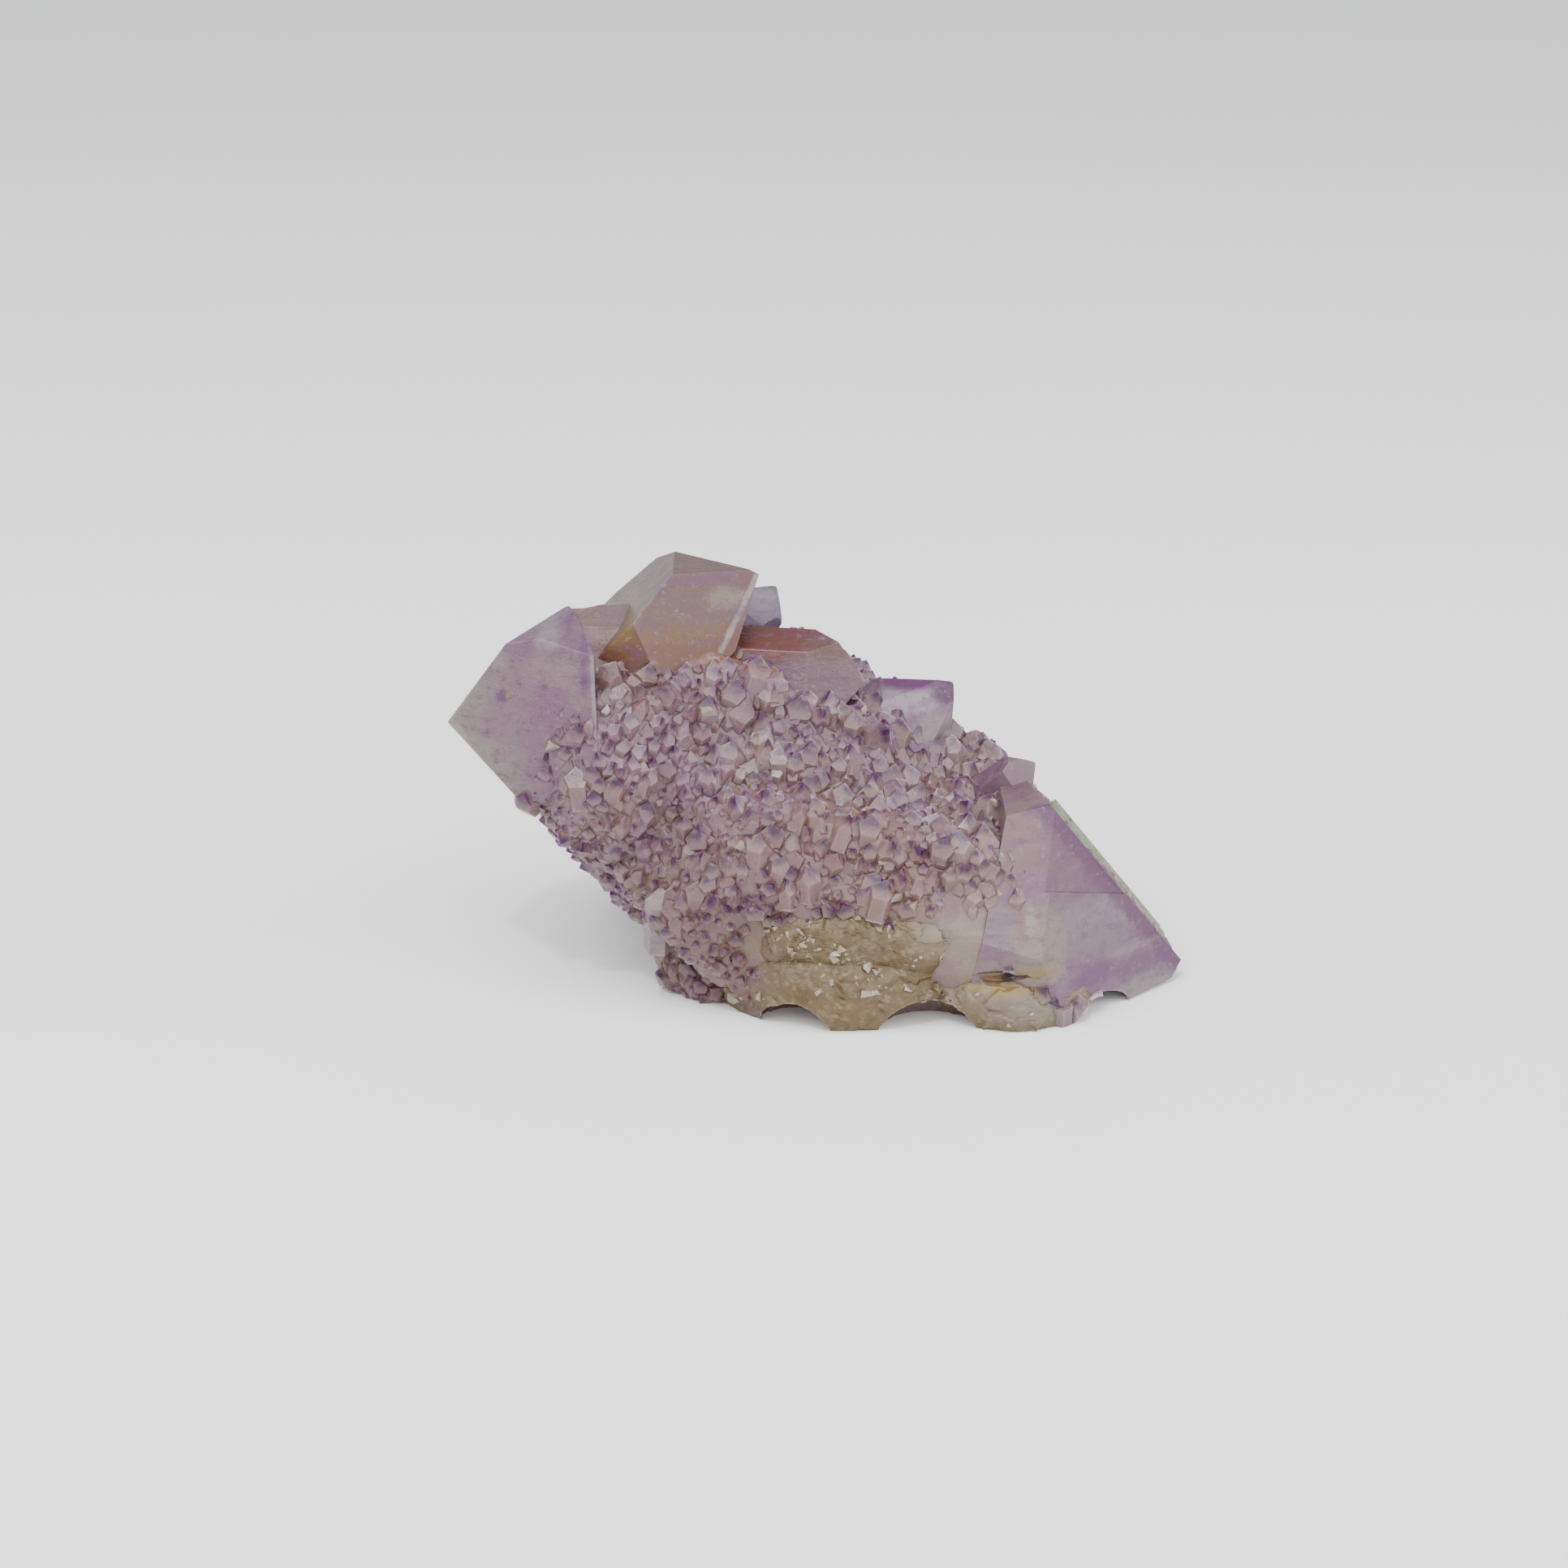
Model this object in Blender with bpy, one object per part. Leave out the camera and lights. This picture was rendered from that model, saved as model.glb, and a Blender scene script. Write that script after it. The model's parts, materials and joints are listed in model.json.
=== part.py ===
"""Spirit quartz cluster: crystals grown together in one stone, cut flat where it broke from the rock.

Run it with blender --background --python part.py, or from Blender's text editor.
Sizes are in millimetres and become metres as the finished stone is placed. +X is the way the big point
looks, -Y is the front and +Z is up. The origin lies on the flat break that the stone rests on.
"""

import math
import random

import bmesh
import bpy
from mathutils import Matrix, Vector

MM = 0.001
SIDES = 6
FACE_TILT = math.radians(38.2)  # a quartz point's faces lean in this far from its long axis
DRUSE, CLEAR, BREAK = 0, 1, 2  # material slots
FRONT = (0.0, -0.94, 0.34)  # the side that the broad smooth faces look to

MATERIALS = (
    # name, colour, roughness
    ("amethyst_druse", (0.40, 0.29, 0.40, 1.0), 0.35),
    ("amethyst_face", (0.44, 0.33, 0.46, 1.0), 0.15),
    ("milky_break", (0.47, 0.42, 0.33, 1.0), 0.60),
)

# The faces of a point: how far round from the side it looks to, in degrees, and how far back from the tip
SIX_FACED = ((0, 0.0), (60, 0.8), (120, 0.3), (180, 1.0), (240, 0.2), (300, 0.6))
THREE_BROAD = tuple((60 * k, 3.0 * (k % 2)) for k in range(SIDES))
LEFT_POINT = tuple((60 * k, 4.0 * (k % 2)) for k in range(SIDES))
RIGHT_POINT = ((-3, 0.0), (-84, 0.6), (75, 1.3), (-150, 0.0), (145, 0.0))

MAIN = dict(
    tip=(40.5, -6.0, 2.2), points=(0.979, 0.02, -0.204), radius=16.5, length=69.0,
    looks=FRONT, faces=RIGHT_POINT, ends=2, slot=CLEAR,
    trims=(
        ((22.0, -21.0, 10.8), (-0.07, -0.98, -0.19)),
        ((-20.4, 0.0, 13.4), (-0.67, 0.0, -0.74)),
    ),
)
UPPER_SLOPE = (0.45, 0.0, 0.89)  # which way the upper right side looks
STEP_RISE = 0.4  # the growth step across the main candle's broad face
STEP_CUTS = (
    # a point on the cut and which way it looks: above, behind and under the proud part
    ((32.0, -12.0, 12.3), (0.05, 0.34, 0.94)),
    ((21.5, 0.0, 0.0), (-1.0, 0.0, 0.0)),
    ((0.0, -18.7, 10.8), (0.0, -0.98, -0.19)),
)

CRYSTALS = {
    "main_candle": MAIN,
    "left_candle": dict(
        tip=(-39.5, -7.0, 30.3), points=(-0.965, -0.259, 0.045), radius=12.4, length=58.0,
        looks=FRONT, faces=LEFT_POINT, ends=2, slot=CLEAR,
        trims=(((-25.5, 0.0, 41.1), (-0.26, 0.0, 0.966)), ((-5.6, 0.0, 36.6), UPPER_SLOPE)),
    ),
    "middle_candle": dict(
        tip=(-29.2, -8.4, 18.8), points=(-0.95, -0.25, 0.12), radius=11.5, length=50.0,
        looks=FRONT, faces=SIX_FACED, ends=2, slot=DRUSE,
        trims=(((-5.6, 0.0, 35.4), UPPER_SLOPE),),
    ),
    "upper_candle": dict(
        tip=(25.5, 3.0, 12.2), points=(0.892, 0.06, -0.452), radius=9.6, length=42.0,
        looks=(0.0, -0.6, 0.8), faces=SIX_FACED, ends=2, slot=DRUSE,
    ),
    "back_candle": dict(
        tip=(-27.0, 20.0, 13.0), points=(-0.80, 0.58, -0.10), radius=9.5, length=50.0,
        looks=(0.0, 0.8, 0.6), faces=THREE_BROAD, ends=2, slot=CLEAR,
    ),
    "back_point": dict(
        tip=(24.0, 21.0, 12.0), points=(0.55, 0.80, 0.10), radius=7.5, length=26.0,
        looks=(0.0, 0.5, 0.86), faces=THREE_BROAD, ends=1, slot=CLEAR,
    ),
    "top_crystal": dict(
        tip=(-6.1, 0.0, 44.8), points=(0.86, -0.15, 0.47), radius=11.0, length=24.0,
        looks=FRONT, faces=THREE_BROAD, ends=1, slot=CLEAR, body=CLEAR,
        trims=(
            ((-13.6, 0.0, 45.7), (0.05, 0.0, 1.0)),
            ((-18.4, 0.0, 42.4), (-0.72, 0.0, 0.69)),
            ((-8.3, 0.0, 46.4), (0.44, 0.0, 0.90)),
        ),
    ),
    "small_top_crystal": dict(
        tip=(5.6, -2.4, 34.0), points=(0.95, -0.16, 0.0), radius=5.3, length=18.0,
        looks=FRONT, faces=THREE_BROAD, ends=1, slot=CLEAR, body=CLEAR,
    ),
    "purple_tip": dict(
        tip=(15.1, 2.0, 31.6), points=(0.68, -0.10, 0.68), radius=6.0, length=14.0,
        looks=FRONT, faces=SIX_FACED, ends=1, slot=CLEAR, body=CLEAR,
    ),
    "glassy_tip": dict(
        tip=(-4.4, 8.0, 40.8), points=(0.55, -0.10, 0.80), radius=3.0, length=9.0,
        looks=FRONT, faces=SIX_FACED, ends=1, slot=CLEAR, body=CLEAR,
    ),
    "white_prism": dict(
        tip=(-16.5, -17.0, 14.6), points=(0.05, -0.30, 0.95), radius=1.5, length=8.0,
        looks=FRONT, faces=SIX_FACED, ends=1, slot=CLEAR, body=CLEAR,
    ),
}

# The rounded milky lumps: middle, half sizes, slot
LUMPS = {
    "root": ((-2.0, 4.0, 14.0), (22.0, 14.0, 12.0), DRUSE),
    "waist": ((-10.0, -4.2, 24.0), (19.0, 9.4, 6.5), DRUSE),
    "left_waist": ((-22.0, -7.6, 23.4), (9.0, 9.2, 8.4), DRUSE),
    "left_foot": ((-8.6, -7.0, 3.8), (9.6, 7.8, 7.0), DRUSE),
    "break_face": ((4.0, -9.8, 3.4), (15.6, 11.8, 9.8), BREAK),
    "right_foot": ((20.0, -10.8, 2.5), (9.5, 8.6, 7.0), DRUSE),
}

# The hollows along the broken foot: middle, half sizes
HOLLOWS = {
    "left_hollow": ((-2.2, -19.5, -1.5), (4.2, 5.2, 4.5)),
    "right_hollow": ((12.5, -21.0, -1.5), (6.0, 5.8, 4.5)),
    "under_the_point": ((30.8, -15.0, -1.5), (3.4, 7.5, 3.6)),
    "crevice": ((21.0, -20.0, 5.8), (4.8, 3.6, 0.9)),
}
ROUGH = 0.3  # how far a lump's corners stand in or out
ROUGH_SEED = 5

# The small second-growth points, a carpet of three-faced tips
POINT_SEED = 11
POINT_GAP = 2.8  # the least distance between two points
POINT_REACH = (1.9, 2.7)  # from a point's axis to its foot's corners
POINT_SINK = 0.12  # how much of its height lies in what it grows from
POINT_LEAN = 0.24
POINT_BIAS = Vector((0.28, 0.0, 0.0))  # they aim a little to the right
TRIES = 60000

# The loose-looking chips that stand on the broken foot
CHIP = (1.9, 1.0, 1.3)
CHIP_GAP = 3.4
CHIPS_END = 17.0  # none lie further right

LEFT_BARE = (-23.5, 25.5)  # left of this and above it, the stone is smooth
BARE_DEPTH = 8.0  # neither reaches further back than this
RIGHT_BARE = (22.5, 4.5)  # right of this and above it, too

CUTTER_SIDE = 200.0
MERGE = 0.002  # corners nearer than this are one


def make_materials():
    """One Principled material for each kind of surface, in slot order."""
    made = []
    for name, colour, roughness in MATERIALS:
        material = bpy.data.materials.new(name)
        material.use_nodes = True
        shader = material.node_tree.nodes["Principled BSDF"]
        shader.inputs["Base Color"].default_value = colour
        shader.inputs["Roughness"].default_value = roughness
        shader.inputs["Metallic"].default_value = 0.0
        shader.inputs["IOR"].default_value = 1.54
        made.append(material)
    return made


def mesh_object(name, bm, collection, materials):
    """The finished bmesh as an object in a collection."""
    bmesh.ops.recalc_face_normals(bm, faces=bm.faces)
    mesh = bpy.data.meshes.new(name)
    bm.to_mesh(mesh)
    bm.free()
    for material in materials:
        mesh.materials.append(material)
    made = bpy.data.objects.new(name, mesh)
    collection.objects.link(made)
    return made


def cut_away(bm, point, normal, slot):
    """Cuts a convex solid with a plane, keeps what lies behind it and closes the cut."""
    everything = bm.verts[:] + bm.edges[:] + bm.faces[:]
    made = bmesh.ops.bisect_plane(
        bm, geom=everything, dist=1e-6, plane_co=point, plane_no=normal, clear_outer=True
    )
    rim = [item for item in made["geom_cut"] if isinstance(item, bmesh.types.BMEdge)]
    if len(rim) < 3:
        return
    closed = bmesh.ops.contextual_create(bm, geom=rim)
    for face in closed["faces"]:
        face.material_index = slot
    bmesh.ops.remove_doubles(bm, verts=bm.verts, dist=MERGE)


def placement(tip, points, looks):
    """The matrix that carries a crystal from its own frame, tip at the origin and pointing up, to its place."""
    up = Vector(points).normalized()
    side = Vector(looks)
    side = (side - side.dot(up) * up).normalized()
    across = up.cross(side)
    turn = Matrix((side, across, up)).transposed().to_4x4()
    return Matrix.Translation(Vector(tip)) @ turn


def face_normal(round_degrees, tilt):
    """Which way a point's face looks, in the crystal's own frame."""
    turn = math.radians(round_degrees)
    flat = math.cos(tilt)
    return Vector((flat * math.cos(turn), flat * math.sin(turn), math.sin(tilt)))


def quartz_crystal(tip, points, radius, length, looks, faces, ends, slot, body=DRUSE, trims=()):
    """A six-sided prism with a point at one end or at both, whose faces may be uneven."""
    bm = bmesh.new()
    bmesh.ops.create_cone(
        bm, cap_ends=True, segments=SIDES, radius1=radius, radius2=radius, depth=length,
        matrix=Matrix.Translation((0.0, 0.0, -length / 2)),
    )
    for face in bm.faces:
        face.material_index = body
    for round_degrees, back in faces:
        normal = face_normal(round_degrees, FACE_TILT)
        cut_away(bm, normal * back, normal, slot)
    if ends == 2:
        tail = Vector((0.0, 0.0, -length))
        for round_degrees, back in SIX_FACED:
            normal = face_normal(round_degrees, -FACE_TILT)
            cut_away(bm, tail + normal * back, normal, DRUSE)
    bm.transform(placement(tip, points, looks))
    for point, normal in trims:
        cut_away(bm, Vector(point), Vector(normal), body)
    return bm


def growth_step():
    """The lower part of the main candle's broad face, which stands a little proud of the rest."""
    broad_face = face_normal(RIGHT_POINT[0][0], FACE_TILT)
    outward = placement(MAIN["tip"], MAIN["points"], MAIN["looks"]).to_3x3() @ broad_face
    shifted = dict(MAIN, tip=Vector(MAIN["tip"]) + outward * STEP_RISE, trims=())
    bm = quartz_crystal(**shifted)
    for point, normal in STEP_CUTS:
        cut_away(bm, Vector(point), Vector(normal), CLEAR)
    return bm


def lump(middle, halves, slot=BREAK):
    """A rounded lump of many flat faces, a little uneven."""
    chance = random.Random(ROUGH_SEED)
    bm = bmesh.new()
    bmesh.ops.create_icosphere(bm, subdivisions=2, radius=1.0)
    bm.transform(Matrix.Translation(middle) @ Matrix.Diagonal((*halves, 1.0)))
    for corner in bm.verts:
        corner.co += Vector([chance.uniform(-ROUGH, ROUGH) for _ in range(3)])
    for face in bm.faces:
        face.material_index = slot
    return bm


def applied(name, first, steps, collection, solver="EXACT"):
    """The solid that is left when others are joined to the first, or cut from it, in the order given."""
    used = [first]
    for operation, other in steps:
        step = first.modifiers.new(other.name, "BOOLEAN")
        step.operation = operation
        step.solver = solver
        if isinstance(other, bpy.types.Collection):
            step.operand_type = "COLLECTION"
            step.collection = other
            used.extend(other.objects)
        else:
            step.object = other
            used.append(other)
    graph = bpy.context.evaluated_depsgraph_get()
    mesh = bpy.data.meshes.new_from_object(first.evaluated_get(graph))
    mesh.name = name
    made = bpy.data.objects.new(name, mesh)
    collection.objects.link(made)
    for piece in used:
        bpy.data.objects.remove(piece)
    return made


def bare(place):
    """Whether a place is on one of the two smooth ends, where no small points grow."""
    left = place.x < LEFT_BARE[0] and place.z > LEFT_BARE[1]
    right = place.x > RIGHT_BARE[0] and place.z > RIGHT_BARE[1]
    return (left or right) and place.y < BARE_DEPTH


def spread(core, slot, gap, chance):
    """Places on the core's faces of one slot, a gap or more apart, each with the way that the face looks."""
    mesh = core.data
    mesh.calc_loop_triangles()
    triangles = [t for t in mesh.loop_triangles if t.material_index == slot]
    picks = chance.choices(triangles, weights=[t.area for t in triangles], k=TRIES)
    kept = []
    cells = {}
    for triangle in picks:
        a, b, c = (mesh.vertices[i].co for i in triangle.vertices)
        u, v = chance.random(), chance.random()
        if u + v > 1.0:
            u, v = 1.0 - u, 1.0 - v
        place = a + (b - a) * u + (c - a) * v
        i, j, k = (math.floor(x / gap) for x in place)
        near = [
            other
            for x in (i - 1, i, i + 1)
            for y in (j - 1, j, j + 1)
            for z in (k - 1, k, k + 1)
            for other in cells.get((x, y, z), ())
        ]
        apart = all((place - other).length > gap for other in near)
        if place.z > -gap and apart and not bare(place):
            cells.setdefault((i, j, k), []).append(place)
            kept.append((place, triangle.normal.copy()))
    return kept


def druse(core, chance, materials):
    """The small points that cover the candles and the chips on the break, each a solid of its own."""
    points = bpy.data.collections.new("druse")
    bpy.context.scene.collection.children.link(points)
    corner_tilt = math.atan(math.tan(FACE_TILT) / math.cos(math.pi / 3))
    for place, normal in spread(core, DRUSE, POINT_GAP, chance):
        reach = chance.uniform(*POINT_REACH)
        height = reach / math.tan(corner_tilt)
        lean = Vector([chance.uniform(-POINT_LEAN, POINT_LEAN) for _ in range(3)])
        axis = (normal + lean + POINT_BIAS).normalized()
        turn = axis.to_track_quat("Z", "Y").to_matrix().to_4x4()
        spin = Matrix.Rotation(chance.uniform(0.0, math.tau), 4, "Z")
        middle = Matrix.Translation(place + axis * height * (0.5 - POINT_SINK))
        bm = bmesh.new()
        bmesh.ops.create_cone(
            bm, cap_ends=True, segments=3, radius1=reach, radius2=0.0, depth=height,
            matrix=middle @ turn @ spin,
        )
        mesh_object("point", bm, points, materials)
    for place, _ in spread(core, BREAK, CHIP_GAP, chance):
        if place.x > CHIPS_END:
            continue
        bm = bmesh.new()
        turn = Matrix.Rotation(chance.uniform(0.0, math.tau), 4, Vector((0.3, 1.0, 0.2)))
        bmesh.ops.create_cube(bm, matrix=Matrix.Translation(place) @ turn @ Matrix.Diagonal((*CHIP, 1.0)))
        for face in bm.faces:
            face.material_index = BREAK
        mesh_object("chip", bm, points, materials)
    return points


def ground():
    """All that lies below the flat break."""
    bm = bmesh.new()
    middle = Matrix.Translation((0.0, 0.0, -CUTTER_SIDE / 2))
    bmesh.ops.create_cube(bm, size=CUTTER_SIDE, matrix=middle)
    for face in bm.faces:
        face.material_index = BREAK
    return bm


def keep_largest_shell(mesh):
    """Fills the tiny pockets between small points and drops the crumbs that the flat break leaves."""
    bm = bmesh.new()
    bm.from_mesh(mesh)
    unseen = set(bm.verts)
    shells = []
    while unseen:
        edge_of_search = [unseen.pop()]
        shell = list(edge_of_search)
        while edge_of_search:
            corner = edge_of_search.pop()
            for edge in corner.link_edges:
                other = edge.other_vert(corner)
                if other in unseen:
                    unseen.remove(other)
                    shell.append(other)
                    edge_of_search.append(other)
        shells.append(shell)
    shells.sort(key=len)
    small = [corner for shell in shells[:-1] for corner in shell]
    bmesh.ops.delete(bm, geom=small, context="VERTS")
    bm.to_mesh(mesh)
    bm.free()


def main():
    for old in list(bpy.data.objects):
        bpy.data.objects.remove(old)
    stone = bpy.data.collections.new("spirit_quartz_cluster")
    bpy.context.scene.collection.children.link(stone)
    materials = make_materials()
    shapes = {name: lump(*facts) for name, facts in LUMPS.items()}
    shapes.update((name, quartz_crystal(**facts)) for name, facts in CRYSTALS.items())
    shapes["growth_step"] = growth_step()
    first, *others = (mesh_object(name, bm, stone, materials) for name, bm in shapes.items())
    steps = [("UNION", other) for other in others]
    for name, facts in HOLLOWS.items():
        steps.append(("DIFFERENCE", mesh_object(name, lump(*facts), stone, materials)))
    core = applied("core", first, steps, stone)
    chance = random.Random(POINT_SEED)
    points = druse(core, chance, materials)
    # The many small points are joined with the solver that keeps so many crossings closed
    grown = applied("grown", core, [("UNION", points)], stone, solver="MANIFOLD")
    below = mesh_object("below", ground(), stone, materials)
    cluster = applied("spirit_quartz_cluster", grown, [("DIFFERENCE", below)], stone)
    keep_largest_shell(cluster.data)
    cluster.data.transform(Matrix.Scale(MM, 4))


main()
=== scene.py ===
"""Looks of the spirit quartz cluster: candles of pale amethyst in a crust of small points.

Sizes are in millimetres and become metres as each piece is finished. +X is the way the big point looks,
-Y is the front and +Z is up. The stone lies on the flat break underneath, at Z = 0.
"""

import json
import math
import random

import bmesh
import bpy
from mathutils import Matrix, Vector, noise
from mathutils.bvhtree import BVHTree

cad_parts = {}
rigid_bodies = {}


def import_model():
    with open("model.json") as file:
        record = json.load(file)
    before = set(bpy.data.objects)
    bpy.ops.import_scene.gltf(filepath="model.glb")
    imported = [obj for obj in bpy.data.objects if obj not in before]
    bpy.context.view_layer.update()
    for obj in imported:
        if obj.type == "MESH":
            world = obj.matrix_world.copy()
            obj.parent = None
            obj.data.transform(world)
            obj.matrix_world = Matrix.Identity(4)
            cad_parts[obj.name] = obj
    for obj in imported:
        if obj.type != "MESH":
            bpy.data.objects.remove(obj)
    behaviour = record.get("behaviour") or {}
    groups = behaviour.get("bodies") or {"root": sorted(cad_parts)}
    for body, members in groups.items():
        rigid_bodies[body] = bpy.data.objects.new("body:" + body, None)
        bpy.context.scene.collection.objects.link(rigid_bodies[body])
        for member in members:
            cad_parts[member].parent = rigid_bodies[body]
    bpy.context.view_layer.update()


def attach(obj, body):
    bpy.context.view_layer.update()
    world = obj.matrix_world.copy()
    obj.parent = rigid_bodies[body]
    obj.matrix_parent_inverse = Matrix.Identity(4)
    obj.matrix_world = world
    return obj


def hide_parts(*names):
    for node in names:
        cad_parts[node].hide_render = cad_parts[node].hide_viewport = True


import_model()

# Where the stone is seen from, and what it lies on.
# The floor is plain matt board, and the light is that of a bright overcast day: wide and soft, with one
# smaller lamp that the facets catch.
MM = 0.001
LOOK_AT = Vector((-3.24, 0.0, 20.6)) * MM
EYE_HEIGHT = math.radians(20.0)
EYE_DISTANCE = 410.6 * MM
FLOOR_HALF = 3.0
FLOOR_DROP = 0.02 * MM
DAYLIGHT = 0.75
DEEPER = 0.46  # how much of a seen brightness the stone itself has, under such bright light
RICHER = 1.75  # how much stronger its hue is than the one seen, which the sheen of the sky pales
LAMPS = {
    # place and width in metres, power in watts
    "sky": ((-0.35, -0.35, 0.75), 1.00, 13.0),
    "front": ((0.30, -0.90, 0.45), 0.90, 8.0),
    "right": ((0.80, -0.20, 0.45), 0.60, 6.0),
    "glint": ((-0.15, -0.45, 0.80), 0.05, 2.6),
}


class Value:
    """A socket in an expression. Arithmetic on it adds Math nodes."""

    def __init__(self, nodes, socket):
        self.nodes = nodes
        self.socket = socket

    def maths(self, operation, *values):
        return self.nodes.add("ShaderNodeMath", {"operation": operation}, dict(enumerate(values)))

    def __add__(self, other):
        return self.maths("ADD", self, other)

    def __sub__(self, other):
        return self.maths("SUBTRACT", self, other)

    def __rsub__(self, other):
        return self.maths("SUBTRACT", other, self)

    def __mul__(self, other):
        return self.maths("MULTIPLY", self, other)

    def __pow__(self, other):
        return self.maths("POWER", self, other)

    __radd__ = __add__
    __rmul__ = __mul__


class Nodes:
    """A node tree. A node is added by its type, its settings and what its sockets hold or are fed by."""

    def __init__(self, tree):
        self.tree = tree

    def add(self, kind, settings=None, sockets=None, out=0):
        node = self.tree.nodes.new(kind)
        for name, setting in (settings or {}).items():
            setattr(node, name, setting)
        for name, value in (sockets or {}).items():
            self.fill(node.inputs[name], value)
        return Value(self, node.outputs[out])

    def fill(self, socket, value):
        if isinstance(value, Value):
            self.tree.links.new(value.socket, socket)
        else:
            socket.default_value = value


def colour(red, green, blue):
    """What the stone's own colour is where it is seen as this one, 0 to 255, in the light of this scene."""
    seen = [((c / 255 + 0.055) / 1.055) ** 2.4 for c in (red, green, blue)]
    grey = sum(seen) / len(seen)
    return (*(max(0.004, DEEPER * (grey + RICHER * (c - grey))) for c in seen), 1.0)


class Finish(Nodes):
    """The finish of a surface: one Principled shader and the pattern that feeds it."""

    def __init__(self, name, **surface):
        self.material = bpy.data.materials.new(name)
        self.material.use_nodes = True
        super().__init__(self.material.node_tree)
        self.shader = self.tree.nodes["Principled BSDF"]
        for socket, value in surface.items():
            self.shader.inputs[socket.replace("_", " ").title().replace("Ior", "IOR")].default_value = value
        here = self.add("ShaderNodeTexCoord", out=3)
        self.place = self.add("ShaderNodeVectorMath", {"operation": "SCALE"}, {0: here, "Scale": 1 / MM})

    def cloud(self, size, detail=3.0, rough=0.55, stretch=(1.0, 1.0, 1.0), shift=0.0, lean=0.0):
        """Soft patches about so many millimetres wide, from 0 to 1 with 0.5 in the middle."""
        sockets = {"Vector": self.place, "Location": (shift,) * 3, "Scale": stretch, "Rotation": (0.0, lean, 0.0)}
        moved = self.add("ShaderNodeMapping", None, sockets)
        sockets = {"Vector": moved, "Scale": 1 / size, "Detail": detail, "Roughness": rough}
        return self.add("ShaderNodeTexNoise", None, sockets)

    def cells(self, size):
        """A number from 0 to 1 for each cell of about so many millimetres."""
        sockets = {"Vector": self.place, "Scale": 1 / size}
        tinted = self.add("ShaderNodeTexVoronoi", None, sockets, out=1)
        return self.add("ShaderNodeSeparateColor", None, {0: tinted})

    def ramp(self, value, low, high):
        """0 up to low and 1 from high, with an even climb between."""
        sockets = {"Value": value, "From Min": low, "From Max": high}
        return self.add("ShaderNodeMapRange", {"interpolation_type": "SMOOTHSTEP"}, sockets)

    def near(self, middle, halves, waver, soft=0.4):
        """1 in the middle of a rounded region and 0 outside it, in millimetres, with a wavering edge."""
        away = self.add("ShaderNodeVectorMath", {"operation": "SUBTRACT"}, {0: self.place, 1: middle})
        share = self.add("ShaderNodeVectorMath", {"operation": "DIVIDE"}, {0: away, 1: halves})
        reach = self.add("ShaderNodeVectorMath", {"operation": "LENGTH"}, {0: share}, out=1)
        return 1 - self.ramp(reach + waver * 1.6, 1 - soft, 1 + soft)

    def beside(self, start, end, width, waver):
        """1 along a straight line and 0 further from it than a width in millimetres, which wavers."""
        away = self.add("ShaderNodeVectorMath", {"operation": "SUBTRACT"}, {0: self.place, 1: start})
        course = (Vector(end) - Vector(start)).normalized()
        across = self.add("ShaderNodeVectorMath", {"operation": "CROSS_PRODUCT"}, {0: away, 1: course})
        reach = self.add("ShaderNodeVectorMath", {"operation": "LENGTH"}, {0: across}, out=1)
        return 1 - self.ramp(reach + waver * width * 1.5, width * 0.4, width)

    def paint(self, under, over, share):
        """The under colour with a share of the over colour laid on it."""
        return self.add("ShaderNodeMix", {"data_type": "RGBA"}, {0: share, 6: under, 7: over}, out=2)

    def zones(self, tone, marks):
        """The tone with each mark on it in turn: a colour and a strength, and then either the middle and
        the half sizes of a region, or the start, the end and the width of a line."""
        waver = self.cloud(2.2, 5.0, 0.7) - 0.5
        for over, strength, *where in marks:
            share = self.near(*where, waver) if len(where) == 2 else self.beside(*where, waver)
            tone = self.paint(tone, colour(*over), share * strength)
        return tone

    def milky(self, reach, tint=(1.0, 0.85, 0.95), share=0.35):
        """Light that goes in and comes out again, up to a few tenths of its reach in millimetres away."""
        self.shader.inputs["Subsurface Weight"].default_value = share
        self.shader.inputs["Subsurface Radius"].default_value = tint
        self.shader.inputs["Subsurface Scale"].default_value = reach * MM

    def bump(self, height, depth):
        """Fine relief, its depth in millimetres."""
        sockets = {"Height": height, "Distance": depth * MM, "Strength": 1.0}
        self.fill(self.shader.inputs["Normal"], self.add("ShaderNodeBump", None, sockets))

    def show(self, socket, value):
        self.fill(self.shader.inputs[socket], value)


def linked(made):
    """Puts a new object in the scene."""
    bpy.context.scene.collection.objects.link(made)
    return made


camera_data = bpy.data.cameras.new("camera")
camera_data.lens = 85.0
camera_data.sensor_width = 36.0
camera_data.clip_start = 0.01
camera = linked(bpy.data.objects.new("camera", camera_data))
outward = Vector((0.0, -math.cos(EYE_HEIGHT), math.sin(EYE_HEIGHT)))
camera.location = LOOK_AT + outward * EYE_DISTANCE
camera.rotation_mode = "QUATERNION"
camera.rotation_quaternion = (-outward).to_track_quat("-Z", "Y")
bpy.context.scene.camera = camera

for lamp_name, (lamp_place, width, power) in LAMPS.items():
    lamp_data = bpy.data.lights.new(lamp_name, "AREA")
    lamp_data.size = width
    lamp_data.energy = power
    lamp = linked(bpy.data.objects.new(lamp_name, lamp_data))
    lamp.location = lamp_place
    lamp.rotation_mode = "QUATERNION"
    lamp.rotation_quaternion = (LOOK_AT - Vector(lamp_place)).to_track_quat("-Z", "Y")

day = bpy.data.worlds.new("day")
day.use_nodes = True
day.node_tree.nodes["Background"].inputs["Color"].default_value = (0.95, 0.97, 1.0, 1.0)
day.node_tree.nodes["Background"].inputs["Strength"].default_value = DAYLIGHT
bpy.context.scene.world = day

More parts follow.
